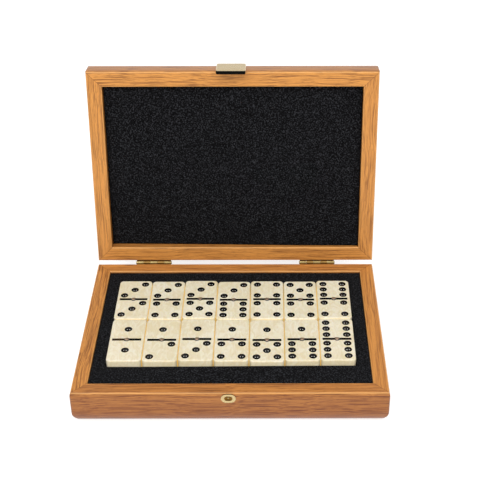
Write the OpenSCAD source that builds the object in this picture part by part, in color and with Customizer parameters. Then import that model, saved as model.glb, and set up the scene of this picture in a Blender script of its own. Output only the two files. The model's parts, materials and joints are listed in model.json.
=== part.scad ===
// Domino storage box: a mitred wooden base and lid on two stop hinges, a snap clasp,
// a foam tray and pads, and a double-six set of 28 dominoes in two layers of fourteen.
//
// X runs along the box, Y from front to back and Z up. The origin is the centre of the
// underside. Lid parts are drawn shut and then swung open about the hinge pins.

/* [Box] */
// Overall width of the box
box_w = 241.2; // [232:1:300]
// Overall depth of the box, front to back
box_d = 171.2; // [154:1:230]
// Height of the base, underside to rim
base_h = 30; // [28:0.5:40]
// Height of the lid, from the base's rim to its outer face
lid_h = 27.3; // [22:0.5:40]
// Gap left between the two rims when the box is shut
rim_gap = 0.1; // [0.05:0.05:0.4]
// How far the lid stands open, in degrees
open_angle = 99; // [95:1:110]

/* [Frame mouldings] */
// Overall width of the base rails
base_rail_w = 12.3; // [11:0.2:14]
// Overall width of the lid rails
lid_rail_w = 13.1; // [11:0.2:14]
// Radius of the gentle curve of the outer face next to the rim
crown_r = 17; // [12:1:40]
// Height of that curve
crown_h = 5.5; // [4:0.5:8]
// How far the rounded outer edge runs in at the underside and the top
edge_inset = 7.1; // [5.1:0.5:7.6]
// Height of the rounded outer edge
edge_rise = 12.5; // [10:0.5:15]
// Tight radius where the rounded edge meets the flat
edge_nose_r = 4; // [3:0.5:4.5]
// Rounding of the two rim edges
rim_r = 1.2; // [0.6:0.1:2]
// Rounding of the upright corners of the box
corner_r = 1.5; // [0.8:0.1:3]
// Thickness of the bottom and top panels
panel_t = 3.5; // [2.5:0.5:4]
// Width of the rebate that a panel sits in
rebate_w = 3; // [2:0.5:4]

/* [Dominoes] */
// Thickness of a domino
tile_t = 12; // [9:0.5:13]
// Radius of a domino's upright corners
tile_corner_r = 3; // [2:0.1:4]
// Rounding of a domino's face edges
tile_edge_r = 1.2; // [0.6:0.1:1.8]
// Gap between neighbours along the box
tile_gap_x = 0.4; // [0.2:0.1:0.8]
// Mean gap between the two rows
tile_gap_y = 0.7; // [0.6:0.1:1.5]
// How far the upper layer stands above the rim
tile_proud = 3; // [1:0.5:4]
// Diameter of a pip
pip_d = 6.2; // [4:0.1:6.4]
// Depth of a pip's dished recess
pip_depth = 0.7; // [0.4:0.1:1]
// Pip spacing across a domino, as a share of its width
pip_share_x = 0.2956; // [0.26:0.005:0.31]
// Pip spacing along a domino, as a share of its length
pip_share_y = 0.1464; // [0.125:0.0025:0.15]
// Distance of the dividing groove's ends from the domino's sides
groove_inset = 2.2; // [1.5:0.1:4]
// Width of the dividing groove
groove_w = 2.3; // [0.8:0.1:2.5]
// Depth of the dividing groove
groove_depth = 0.6; // [0.3:0.1:1]
// Diameter of the pin head in the middle of a domino
spinner_d = 4.2; // [3:0.1:5]
// Height of the pin head
spinner_h = 0.7; // [0.4:0.1:1]

/* [Foam] */
// How far the tray's face lies below the rim
tray_drop = 1.25; // [0.5:0.25:3]
// Width of the foam between the pocket and the side rails
side_strip = 10.7; // [6:0.1:16]
// Width of the foam between the pocket and the front rail
front_strip = 21.55; // [12:0.05:30]
// Width of the foam between the pocket and the back rail
rear_strip = 17.55; // [12:0.05:30]
// Gap between the dominoes and the pocket's wall
pocket_gap = 0.5; // [0.3:0.1:1.5]
// Extra length of the pocket, in which the dominoes slide about
nudge_room = 0.6; // [0.6:0.1:1.5]
// Gap between the foam and the wood
foam_gap = 0.2; // [0.1:0.1:0.5]
// How far the lid's pad lies below the lid's rim
lid_recess = 6; // [4.5:0.5:8]

/* [Hinges] */
// Distance from the side of the box to the middle of a hinge
hinge_inset = 49.1; // [30:0.5:70]
// Length of a hinge
hinge_l = 30; // [24:1:40]
// Number of knuckles on a hinge
knuckles = 5; // [3:2:7]
// Gap between neighbouring knuckles
knuckle_gap = 0.16; // [0.1:0.02:0.4]
// Outer radius of a knuckle
barrel_r = 1.65; // [1.5:0.05:1.7]
// Radius of the hinge pin
pin_r = 0.8; // [0.6:0.05:0.9]
// Running clearance of the pin in the lid's knuckles
pin_fit = 0.05; // [0.03:0.01:0.1]
// Distance of the pin's axis behind the backs of the leaves
axis_back = 1.9; // [1.9:0.05:2.2]
// How deep the leaves are let into the wood
leaf_sink = 0.6; // [0:0.1:0.8]
// Thickness of a hinge leaf
leaf_t = 0.9; // [0.7:0.1:1.1]
// Height of a hinge leaf, from the pin's axis
leaf_h = 12; // [11:0.5:13]
// How far the stop heels reach from the pin's axis
heel_reach = 3.6; // [3:0.1:4.2]
// Thickness of a stop heel
heel_t = 1.4; // [1:0.1:1.8]
// Gap left between a stop heel and the leaf when open
heel_gap = 0.05; // [0.02:0.01:0.1]
// Distance of the screws from the ends of a leaf
screw_inset = 6; // [5:0.5:9]
// Distance of the screws from the pin's axis
screw_drop = 7.5; // [6:0.5:8.5]
// Shank diameter of a hinge screw
screw_d = 1.9; // [1.5:0.1:2.2]
// Head diameter of a hinge screw
screw_head_d = 3.8; // [3.2:0.1:4.4]
// Length of a hinge screw
screw_l = 8; // [5:0.5:10]

/* [Clasp] */
// Place of the clasp along the box
clasp_x = -1.2; // [-20:0.1:20]
// Width of the clasp
clasp_w = 24; // [20:0.5:30]
// Length of the clasp
clasp_l = 21; // [19:0.5:24]
// How far the clasp reaches past the lid's rim
clasp_over = 10; // [9:0.5:11]
// How far the clasp stands out from the lid
clasp_h = 3.6; // [3.2:0.05:4.5]
// Wall of the stamped clasp
clasp_wall = 0.5; // [0.4:0.05:0.6]
// Radius of the clasp's corners, seen from the front
clasp_r = 1.5; // [1.2:0.1:3]
// Radius of the clasp's long edges
clasp_edge_r = 0.9; // [0.8:0.05:1.2]
// Length of the clasp's sloping end
clasp_slope_l = 5; // [3:0.5:8]
// How much the clasp's sloping end falls
clasp_slope = 0.4; // [0.2:0.05:0.6]
// Gap between the clasp's overhang and the base
clasp_gap = 0.45; // [0.4:0.05:0.6]
// Thickness of the clasp's mounting plate
plate_t = 0.6; // [0.5:0.05:0.8]
// Gap between the plate and the shell folded round it
plate_gap = 0.1; // [0.05:0.05:0.2]
// Distance of the clasp's nails from its sides
nail_inset = 4; // [3:0.5:6]
// Width of the spring tongue
tongue_w = 8; // [6:0.5:10]
// Thickness of the spring tongue
tongue_t = 0.4; // [0.3:0.05:0.5]
// Diameter of the tongue's dimple
dimple_d = 3.6; // [3:0.1:4.4]
// Gap between the dimple and the strike's rim as they pass
dimple_gap = 0.05; // [0.02:0.01:0.1]
// How far the tongue runs on past its dimple
tongue_end = 0.6; // [0.3:0.1:1.5]
// Width of the oval strike
strike_w = 11.2; // [10:0.2:14]
// Height of the oval strike
strike_h = 8; // [7:0.2:8.4]
// Distance of the strike's middle below the rim
strike_drop = 4.8; // [4.6:0.1:5.2]
// Thickness of the strike
strike_t = 1.5; // [1.2:0.1:2.5]
// How far the strike stands out from the wood
strike_proud = 0.3; // [0.1:0.05:0.3]
// Width of the strike's rim round its dish
strike_edge = 1.7; // [1:0.1:2]
// Width of the strike's dish
dish_w = 6.4; // [5:0.1:7.4]
// Depth of the strike's dish
dish_depth = 0.9; // [0.6:0.05:1]
// Diameter of the nails of the clasp and the strike
nail_d = 1.4; // [1:0.1:1.6]
// Length of the nails in the wood
nail_l = 6; // [4:0.5:8]

/* [Hidden] */
$fn = 48;
open_air = 1;
rear_tiles = [[3, 3], [3, 4], [3, 5], [3, 6], [4, 4], [4, 5], [4, 6]];
front_tiles = [[1, 1], [1, 2], [1, 3], [1, 4], [1, 5], [1, 6], [6, 6]];
lower_rear_tiles = [[0, 0], [0, 1], [0, 2], [0, 3], [0, 4], [0, 5], [0, 6]];
lower_front_tiles = [[2, 2], [2, 3], [2, 4], [2, 5], [2, 6], [5, 5], [5, 6]];
rows = [front_tiles, rear_tiles, lower_front_tiles, lower_rear_tiles];
columns = 7;
// dominoes that lie with their higher number at the back
turned = [[4, 5], [4, 6]];
// how far each domino of the upper layer was pushed back by hand
nudges = [[0.15, -0.3, 0.6, -0.1, -0.75, 0.1, 0.6], [0.35, -0.3, 0.75, -0.6, 0.1, -0.45, 0.75]];

cavity_w = box_w - 2 * base_rail_w;
cavity_d = box_d - 2 * base_rail_w;
lid_cavity_w = box_w - 2 * lid_rail_w;
lid_cavity_d = box_d - 2 * lid_rail_w;
// the upper arc of the rounded edge is tangent to the face and to the nose
edge_leg = edge_rise - edge_nose_r;
edge_r = (edge_inset^2 + edge_leg^2 - edge_nose_r^2) / (2 * (edge_inset - edge_nose_r));
edge_meet_z = edge_nose_r - edge_nose_r * edge_leg / (edge_r - edge_nose_r);
// the curve next to the rim is tangent to the face and to the rim's rounding
crown_leg = crown_h - rim_r;
crown_x = crown_r - sqrt((crown_r - rim_r)^2 - crown_leg^2);
crown_rise = crown_leg * crown_r / (crown_r - rim_r);

// the pocket is what the strips of foam leave, and the dominoes fill the pocket
pocket_w = cavity_w - 2 * side_strip;
pocket_d = cavity_d - front_strip - rear_strip;
pocket_back = (front_strip - rear_strip) / 2;
tile_w = (pocket_w - 2 * pocket_gap - (columns - 1) * tile_gap_x) / columns;
tile_l = (pocket_d - 2 * pocket_gap - nudge_room - tile_gap_y) / 2;
tile_pitch_x = tile_w + tile_gap_x;
tile_pitch_y = tile_l + tile_gap_y;
pip_pitch_x = pip_share_x * tile_w;
pip_pitch_y = pip_share_y * tile_l;
groove_l = tile_w - 2 * groove_inset;
lower_z = base_h + tile_proud - 2 * tile_t - spinner_h;
upper_z = base_h + tile_proud - tile_t;
floor_t = lower_z - panel_t;
half_centre = tile_l / 4;
tray_h = base_h - tray_drop - lower_z;

back_y = box_d / 2;
axis_y = back_y + axis_back - leaf_sink;
hinge_x = box_w / 2 - hinge_inset;
knuckle_l = hinge_l / knuckles;
pin_over = 0.6;
pin_head_r = 1.2;
leaf_y = leaf_t - axis_back;
screw_x = hinge_l / 2 - screw_inset;

clasp_plate_l = clasp_l - clasp_over;
plate_inset = clasp_wall + plate_gap;
nail_head_d = 2.6;
nail_head_t = 0.4;
nail_x = clasp_w / 2 - nail_inset;
nail_z = base_h + clasp_plate_l / 2;
strike_z = base_h - strike_drop;
tongue_y = -box_d / 2 - plate_t;
dimple_t = plate_t - strike_proud - dimple_gap;

// a domino's number pair as text, such as 3_5
function pair_name(pair) = str("domino_", pair[0], "_", pair[1]);
function is_turned(pair) = len([for (t = turned) if (t == pair) t]) > 0;

wood_nodes = ["base_rail_front", "base_rail_back", "base_rail_left", "base_rail_right", "base_panel",
    "lid_rail_front", "lid_rail_back", "lid_rail_left", "lid_rail_right", "lid_panel"];
foam_nodes = ["foam_floor", "foam_tray", "lid_foam"];
metal_nodes = ["hinge_leaf_base_left", "hinge_leaf_base_right", "hinge_leaf_lid_left",
    "hinge_leaf_lid_right", "hinge_pins", "hinge_screws_base", "hinge_screws_lid",
    "clasp_plate", "clasp_nails", "clasp_tongue", "clasp_housing", "strike_plate", "strike_nail"];
tile_nodes = [for (row = rows) for (pair = row) pair_name(pair)];

// swings lid parts from shut to open about the hinge pins
module swing_open() {
    translate([0, axis_y, base_h])
        rotate([-open_angle, 0, 0])
            translate([0, -axis_y, -base_h])
                children();
}

// a rectangle with rounded corners, centred
module rounded_rect(w, d, r) {
    square([w - 2 * r, d], center = true);
    square([w, d - 2 * r], center = true);
    for (x = [r - w / 2, w / 2 - r], y = [r - d / 2, d / 2 - r])
        translate([x, y])
            circle(r);
}

// ---- mouldings and panels ----

// section of a rail: x runs inwards from the outer face, y from the rounded edge to the rim
module rail_section(w, h) {
    difference() {
        union() {
            translate([0, edge_rise])
                square([w, h - crown_h - edge_rise]);
            translate([crown_x, edge_rise])
                square([w - crown_x, h - rim_r - edge_rise]);
            translate([crown_x, edge_rise])
                square([w - crown_x - rim_r, h - edge_rise]);
            for (x = [crown_x, w - rim_r])
                translate([x, h - rim_r])
                    circle(rim_r);
            intersection() {
                translate([crown_r, h - crown_h])
                    circle(crown_r);
                translate([0, edge_rise])
                    square([w - rim_r, h - crown_h + crown_rise - edge_rise]);
            }
            intersection() {
                translate([edge_r, edge_rise])
                    circle(edge_r);
                translate([0, edge_meet_z])
                    square([w, edge_rise]);
            }
            translate([edge_inset, edge_nose_r])
                circle(edge_nose_r);
            translate([edge_inset, 0])
                square([w - edge_inset, edge_nose_r]);
        }
        translate([w - rebate_w, -open_air])
            square([rebate_w + open_air, panel_t + open_air]);
    }
}

// one mitred rail along X at the front of a frame of size l x d
module rail(l, d, w, h) {
    intersection() {
        translate([-l / 2, -d / 2, 0])
            rotate([90, 0, 90])
                linear_extrude(l)
                    rail_section(w, h);
        translate([0, 0, -open_air])
            linear_extrude(h + 2 * open_air)
                intersection() {
                    polygon([[-l / 2, -d / 2], [l / 2, -d / 2], [l / 2 - w, w - d / 2], [w - l / 2, w - d / 2]]);
                    rounded_rect(l, d, corner_r);
                }
    }
}

module base_rail(side) {
    along = side % 2 == 0;
    rotate([0, 0, 90 * side])
        rail(along ? box_w : box_d, along ? box_d : box_w, base_rail_w, base_h);
}

module lid_rail(side) {
    along = side % 2 == 0;
    translate([0, 0, base_h + lid_h])
        mirror([0, 0, 1])
            rotate([0, 0, 90 * side])
                rail(along ? box_w : box_d, along ? box_d : box_w, lid_rail_w, lid_h - rim_gap);
}

module base_rail_front() {
    color("peru")
        difference() {
            base_rail(0);
            strike_place() {
                translate([0, 0, strike_proud - strike_t])
                    linear_extrude(strike_t + open_air)
                        oval(0);
                translate([0, 0, -nail_l])
                    cylinder(d = nail_d, h = nail_l);
            }
        }
}

module base_rail_back() {
    color("peru")
        difference() {
            base_rail(2);
            hinge_places() {
                leaf_plate(-1);
                screw_places(-1)
                    screw_hole();
            }
        }
}

module base_rail_right() {
    color("peru")
        base_rail(1);
}

module base_rail_left() {
    color("peru")
        base_rail(3);
}

module base_panel() {
    color("burlywood")
        translate([0, 0, panel_t / 2])
            cube([cavity_w + 2 * rebate_w, cavity_d + 2 * rebate_w, panel_t], center = true);
}

module lid_rail_front() {
    color("peru")
        swing_open()
            difference() {
                lid_rail(0);
                nail_places()
                    translate([0, -nail_l / 2, 0])
                        rotate([-90, 0, 0])
                            cylinder(d = nail_d, h = 2 * nail_l);
            }
}

module lid_rail_back() {
    color("peru")
        swing_open()
            difference() {
                lid_rail(2);
                hinge_places() {
                    leaf_plate(1);
                    screw_places(1)
                        screw_hole();
                }
            }
}

module lid_rail_right() {
    color("peru")
        swing_open()
            lid_rail(1);
}

module lid_rail_left() {
    color("peru")
        swing_open()
            lid_rail(3);
}

module lid_panel() {
    color("burlywood")
        swing_open()
            translate([0, 0, base_h + lid_h - panel_t / 2])
                cube([lid_cavity_w + 2 * rebate_w, lid_cavity_d + 2 * rebate_w, panel_t], center = true);
}

// ---- foam ----

module foam_floor() {
    color("dimgray")
        translate([0, 0, panel_t + floor_t / 2])
            cube([cavity_w - 2 * foam_gap, cavity_d - 2 * foam_gap, floor_t], center = true);
}

// the tray is one sheet with a rectangular pocket cut through it
module foam_tray() {
    color("dimgray")
        translate([0, 0, lower_z])
            linear_extrude(tray_h)
                difference() {
                    square([cavity_w - 2 * foam_gap, cavity_d - 2 * foam_gap], center = true);
                    translate([0, pocket_back])
                        square([pocket_w, pocket_d], center = true);
                }
}

module lid_foam() {
    color("dimgray")
        swing_open()
            translate([-lid_cavity_w / 2 + foam_gap, -lid_cavity_d / 2 + foam_gap, base_h + lid_recess])
                cube([lid_cavity_w - 2 * foam_gap, lid_cavity_d - 2 * foam_gap,
                    lid_h - lid_recess - panel_t]);
}

// ---- hinges ----

module hinge_places() {
    for (x = [-hinge_x, hinge_x])
        translate([x, axis_y, base_h])
            children();
}

// both screws of a leaf, on the leaf's outer face; way is 1 on the lid and -1 on the base
module screw_places(way) {
    for (x = [-screw_x, screw_x])
        translate([x, leaf_y, way * screw_drop])
            rotate([90, 0, 0])
                children();
}

// a countersunk screw, its head's face at the origin and its shank along Z
module screw() {
    slot_w = 0.7;
    slot_depth = 0.4;
    difference() {
        screw_hole();
        cube([screw_head_d + open_air, slot_w, 2 * slot_depth], center = true);
    }
}

// what the same screw cuts out of the leaf and the wood
module screw_hole() {
    head_t = (screw_head_d - screw_d) / 2;
    cylinder(d1 = screw_head_d, d2 = screw_d, h = head_t);
    cylinder(d = screw_d, h = screw_l);
}

module knuckle_span(i) {
    translate([i * knuckle_l - hinge_l / 2, 0, 0])
        rotate([0, 90, 0])
            children();
}

// the flat of a leaf, which is also the shape of its seat in the wood
module leaf_plate(way) {
    translate([-hinge_l / 2, -axis_back, way < 0 ? -leaf_h : 0])
        cube([hinge_l, leaf_t, leaf_h]);
}

// a leaf in the hinge's own frame, its pin along X; first is the first knuckle it owns
module hinge_leaf(way, first, bore_r) {
    difference() {
        union() {
            leaf_plate(way);
            for (i = [first:2:knuckles - 1])
                knuckle_span(i)
                    translate([0, 0, knuckle_gap / 2])
                        cylinder(r = barrel_r, h = knuckle_l - knuckle_gap);
        }
        for (i = [1 - first:2:knuckles - 1])
            knuckle_span(i)
                translate([0, 0, -knuckle_gap / 2])
                    cylinder(r = axis_back, h = knuckle_l + knuckle_gap);
        translate([-hinge_l / 2 - open_air, 0, 0])
            rotate([0, 90, 0])
                cylinder(r = bore_r, h = hinge_l + 2 * open_air);
        screw_places(way)
            screw_hole();
    }
}

// the heels of the lid's knuckles land on the base's leaf when the lid is open
module stop_heels() {
    rotate([open_angle, 0, 0])
        difference() {
            for (i = [1:2:knuckles - 1])
                translate([i * knuckle_l - hinge_l / 2 + knuckle_gap / 2, leaf_y + heel_gap, -heel_reach])
                    cube([knuckle_l - knuckle_gap, heel_t, heel_reach]);
            translate([-hinge_l / 2, 0, 0])
                rotate([0, 90, 0])
                    cylinder(r = (pin_r + barrel_r) / 2, h = hinge_l);
        }
}

module base_leaf(x) {
    color("goldenrod")
        translate([x, axis_y, base_h])
            hinge_leaf(-1, 0, pin_r);
}

module lid_leaf(x) {
    color("goldenrod")
        swing_open()
            translate([x, axis_y, base_h]) {
                hinge_leaf(1, 1, pin_r + pin_fit);
                stop_heels();
            }
}

module hinge_leaf_base_left() {
    base_leaf(-hinge_x);
}

module hinge_leaf_base_right() {
    base_leaf(hinge_x);
}

module hinge_leaf_lid_left() {
    lid_leaf(-hinge_x);
}

module hinge_leaf_lid_right() {
    lid_leaf(hinge_x);
}

module hinge_pins() {
    color("gold")
        hinge_places() {
            translate([-hinge_l / 2 - pin_over, 0, 0])
                rotate([0, 90, 0])
                    cylinder(r = pin_r, h = hinge_l + 2 * pin_over);
            for (x = [-hinge_l / 2 - pin_over, hinge_l / 2])
                translate([x, 0, 0])
                    rotate([0, 90, 0])
                        cylinder(r = pin_head_r, h = pin_over);
        }
}

module hinge_screws_base() {
    color("khaki")
        hinge_places()
            screw_places(-1)
                screw();
}

module hinge_screws_lid() {
    color("khaki")
        swing_open()
            hinge_places()
                screw_places(1)
                    screw();
}

// ---- clasp and strike ----

module nail_places() {
    for (x = [-nail_x, nail_x])
        translate([clasp_x + x, -box_d / 2, nail_z])
            children();
}

// the flat plate on the lid that the housing is folded round
module clasp_plate() {
    plate_l = clasp_plate_l - clasp_gap - 2 * plate_inset;
    color("darkgoldenrod")
        swing_open()
            difference() {
                translate([clasp_x, -box_d / 2, base_h + clasp_gap + plate_inset + plate_l / 2])
                    rotate([90, 0, 0])
                        linear_extrude(plate_t)
                            rounded_rect(clasp_w - 2 * plate_inset, plate_l, clasp_r - plate_inset);
                nail_places()
                    rotate([90, 0, 0])
                        cylinder(d = nail_d, h = 2 * plate_t);
            }
}

module clasp_nails() {
    color("khaki")
        swing_open()
            nail_places() {
                translate([0, -plate_t, 0])
                    rotate([-90, 0, 0])
                        cylinder(d = nail_d, h = plate_t + nail_l);
                translate([0, -plate_t - nail_head_t, 0])
                    rotate([-90, 0, 0])
                        cylinder(d = nail_head_d, h = nail_head_t);
            }
}

// the clasp's outer form shrunk by a margin: x across, y along it from its free end, z outwards
module clasp_form(margin) {
    far = clasp_l - margin;
    top = clasp_h - margin;
    fall = top - clasp_slope;
    mid = (clasp_gap + clasp_h) / 2;
    intersection() {
        linear_extrude(clasp_h)
            translate([0, clasp_l / 2])
                rounded_rect(clasp_w - 2 * margin, clasp_l - 2 * margin, clasp_r - margin);
        rotate([90, 0, 180])
            linear_extrude(clasp_l)
                translate([0, mid])
                    rounded_rect(clasp_w - 2 * margin, clasp_h - clasp_gap - 2 * margin, clasp_edge_r - margin);
        translate([-clasp_w / 2, 0, 0])
            rotate([90, 0, 90])
                linear_extrude(clasp_w)
                    polygon([[margin, 0], [far, 0], [far, top], [margin + clasp_slope_l, top], [margin, fall]]);
    }
}

// the part of the clasp that reaches back to the lid's wood, shrunk by a margin
module clasp_skirt(margin) {
    linear_extrude(clasp_gap + clasp_edge_r)
        intersection() {
            translate([0, clasp_l / 2])
                rounded_rect(clasp_w - 2 * margin, clasp_l - 2 * margin, clasp_r - margin);
            translate([-clasp_w / 2, clasp_over + clasp_gap + margin])
                square([clasp_w, clasp_plate_l]);
        }
}

// a stamped shell with a closed end, open towards the box
module clasp_housing() {
    back_w = clasp_w - 2 * (clasp_edge_r + clasp_wall);
    color("goldenrod")
        swing_open()
            translate([clasp_x, -box_d / 2, base_h - clasp_over])
                rotate([90, 0, 0])
                    difference() {
                        union() {
                            clasp_form(0);
                            clasp_skirt(0);
                        }
                        clasp_form(clasp_wall);
                        translate([-back_w / 2, clasp_r, -open_air])
                            cube([back_w, clasp_l - 2 * clasp_r, clasp_gap + clasp_wall + 2 * open_air]);
                        clasp_skirt(clasp_wall);
                        translate([0, 0, -open_air])
                            clasp_skirt(clasp_wall);
                    }
}

// a flat spring on the plate; its dimple is drawn pressed back, as it passes the strike's rim
module clasp_tongue() {
    bulge_r = (dimple_d^2 / 4 + dimple_t^2) / (2 * dimple_t);
    tongue_z = strike_z - dimple_d / 2 - tongue_end;
    color("silver")
        swing_open()
            translate([clasp_x, tongue_y, 0]) {
                translate([-tongue_w / 2, -tongue_t, tongue_z])
                    cube([tongue_w, tongue_t, nail_z + nail_head_d / 2 - tongue_z]);
                intersection() {
                    translate([0, dimple_t - bulge_r, strike_z])
                        sphere(bulge_r);
                    translate([0, -tongue_t / 2, strike_z])
                        rotate([-90, 0, 0])
                            cylinder(d = dimple_d, h = tongue_t / 2 + dimple_t);
                }
            }
}

// the middle of the strike on the base's front face, Z outwards
module strike_place() {
    translate([clasp_x, -box_d / 2, strike_z])
        rotate([90, 0, 0])
            children();
}

// a stadium of the strike's outline, shrunk by a margin
module oval(margin) {
    r = strike_h / 2 - margin;
    run = (strike_w - strike_h) / 2;
    square([2 * run, 2 * r], center = true);
    for (x = [-run, run])
        translate([x, 0])
            circle(r);
}

// an oval plate let into the wood, with a dish that the tongue's dimple clicks into
module strike_plate() {
    mouth_r = strike_h / 2 - strike_edge;
    run = dish_w / 2 - mouth_r;
    dish_r = (mouth_r^2 + dish_depth^2) / (2 * dish_depth);
    dish_z = strike_proud + dish_r - dish_depth;
    color("gold")
        strike_place()
            difference() {
                translate([0, 0, strike_proud - strike_t])
                    linear_extrude(strike_t)
                        oval(0);
                for (x = [-run, run])
                    translate([x, 0, dish_z])
                        sphere(dish_r);
                translate([-run, 0, dish_z])
                    rotate([0, 90, 0])
                        cylinder(r = dish_r, h = 2 * run);
                translate([0, 0, -strike_t - open_air])
                    cylinder(d = nail_d, h = strike_t + 2 * open_air);
            }
}

// the nail that holds the strike, its head in the dish
module strike_nail() {
    seat_z = strike_proud - dish_depth;
    head_t = 0.25;
    color("khaki")
        strike_place() {
            translate([0, 0, -nail_l])
                cylinder(d = nail_d, h = nail_l + seat_z);
            translate([0, 0, seat_z])
                cylinder(d = nail_d, h = head_t);
        }
}

// ---- dominoes ----

// the places of a number's pips, in steps of the pip spacing
function pips(n) = concat(
    n % 2 == 1 ? [[0, 0]] : [],
    n > 1 ? [[-1, -1], [1, 1]] : [],
    n > 3 ? [[-1, 1], [1, -1]] : [],
    n == 6 ? [[-1, 0], [1, 0]] : []);

// a block with upright corners of one radius and face edges of a smaller one
module tile_blank() {
    inner_w = tile_w - 2 * tile_corner_r;
    inner_l = tile_l - 2 * tile_corner_r;
    translate([0, 0, tile_t / 2]) {
        rotate([90, 0, 0])
            linear_extrude(inner_l, center = true)
                rounded_rect(tile_w, tile_t, tile_edge_r);
        rotate([90, 0, 90])
            linear_extrude(inner_w, center = true)
                rounded_rect(tile_l, tile_t, tile_edge_r);
        for (x = [-inner_w / 2, inner_w / 2], y = [-inner_l / 2, inner_l / 2])
            translate([x, y, 0])
                rotate_extrude()
                    intersection() {
                        rounded_rect(2 * tile_corner_r, tile_t, tile_edge_r);
                        translate([0, -tile_t / 2])
                            square([tile_corner_r, tile_t]);
                    }
    }
}

// one domino with its faces named from back to front
module tile(rear_number, front_number) {
    dish_r = (pip_d^2 / 4 + pip_depth^2) / (2 * pip_depth);
    dome_r = (spinner_d^2 / 4 + spinner_h^2) / (2 * spinner_h);
    halves = [[rear_number, half_centre], [front_number, -half_centre]];
    color("ivory") {
        difference() {
            tile_blank();
            for (half = halves, p = pips(half[0]))
                translate([p[0] * pip_pitch_x, half[1] + p[1] * pip_pitch_y, tile_t + dish_r - pip_depth])
                    sphere(dish_r);
            translate([0, 0, tile_t])
                cube([groove_l, groove_w, 2 * groove_depth], center = true);
        }
        intersection() {
            translate([0, 0, tile_t + spinner_h - dome_r])
                sphere(dome_r);
            translate([0, 0, tile_t - 2 * groove_depth])
                cylinder(d = spinner_d, h = 2 * groove_depth + spinner_h);
        }
    }
}

// puts domino i of a row in the tray; rows 0 and 1 are the upper layer
module placed_tile(row, i) {
    upper = row < 2;
    at_back = row % 2 == 1;
    pair = rows[row][i];
    low_first = !is_turned(pair);
    nudge = upper ? nudges[row][i] : 0;
    translate([
        (i - (columns - 1) / 2) * tile_pitch_x,
        pocket_back + (at_back ? 0.5 : -0.5) * tile_pitch_y + nudge,
        upper ? upper_z : lower_z
    ])
        tile(pair[low_first ? 0 : 1], pair[low_first ? 1 : 0]);
}

base_rail_front();
base_rail_back();
base_rail_left();
base_rail_right();
base_panel();
lid_rail_front();
lid_rail_back();
lid_rail_left();
lid_rail_right();
lid_panel();
foam_floor();
foam_tray();
lid_foam();
hinge_leaf_base_left();
hinge_leaf_base_right();
hinge_leaf_lid_left();
hinge_leaf_lid_right();
hinge_pins();
hinge_screws_base();
hinge_screws_lid();
clasp_plate();
clasp_nails();
clasp_tongue();
clasp_housing();
strike_plate();
strike_nail();
for (row = [0:len(rows) - 1], i = [0:columns - 1])
    placed_tile(row, i);
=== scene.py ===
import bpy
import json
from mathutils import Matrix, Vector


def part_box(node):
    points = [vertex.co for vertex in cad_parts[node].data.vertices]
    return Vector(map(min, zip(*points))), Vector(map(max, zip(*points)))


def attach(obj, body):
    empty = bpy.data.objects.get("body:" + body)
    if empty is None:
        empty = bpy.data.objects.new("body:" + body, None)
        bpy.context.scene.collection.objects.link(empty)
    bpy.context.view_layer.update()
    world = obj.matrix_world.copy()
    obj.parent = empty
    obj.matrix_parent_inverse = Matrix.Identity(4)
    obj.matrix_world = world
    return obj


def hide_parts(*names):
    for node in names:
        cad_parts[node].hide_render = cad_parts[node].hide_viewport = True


bl_info = {
    "name": "Domino Storage Box",
    "version": (1, 0, 0),
    "blender": (4, 5, 0),
    "location": "View3D > Sidebar > Domino Box",
    "description": "Dresses the domino storage box: wood, foam, dominoes, brass and the studio",
    "category": "Object",
}

import json
import math

import bmesh
import bpy
from bpy.props import FloatProperty, FloatVectorProperty, PointerProperty
from mathutils import Matrix, Vector, noise

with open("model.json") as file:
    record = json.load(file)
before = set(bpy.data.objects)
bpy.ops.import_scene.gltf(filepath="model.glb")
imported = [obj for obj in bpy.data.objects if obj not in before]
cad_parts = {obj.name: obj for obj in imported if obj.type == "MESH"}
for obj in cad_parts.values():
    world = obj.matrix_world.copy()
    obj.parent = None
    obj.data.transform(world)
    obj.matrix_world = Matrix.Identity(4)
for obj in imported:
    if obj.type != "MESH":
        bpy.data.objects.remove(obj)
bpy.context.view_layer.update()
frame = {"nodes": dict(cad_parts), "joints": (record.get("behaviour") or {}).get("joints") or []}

MM = 0.001
HINGE = next(j for j in frame["joints"] if j["type"] == "hinge")
HINGE_AT = Vector(HINGE["pos_m"])
OPEN_ANGLE = math.radians(-HINGE["range_deg"][0])
# carries a point of the lid from where it is with the lid open to where it is shut
SHUT = (Matrix.Translation(HINGE_AT) @ Matrix.Rotation(OPEN_ANGLE, 4, "X")
        @ Matrix.Translation(-HINGE_AT))
OPEN = SHUT.inverted()
HALF_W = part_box("base_rail_right")[1].x
HALF_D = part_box("base_rail_back")[1].y
RIM_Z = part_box("base_rail_front")[1].z
DOMINOES = sorted(node for node in frame["nodes"] if node.startswith("domino_"))


def srgb(red, green, blue):
    """A screen colour from 0 to 255 as a linear colour."""
    def linear(part):
        part /= 255
        return part / 12.92 if part <= 0.04045 else ((part + 0.055) / 1.055) ** 2.4
    return (linear(red), linear(green), linear(blue))


# ---- settings ----

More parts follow.
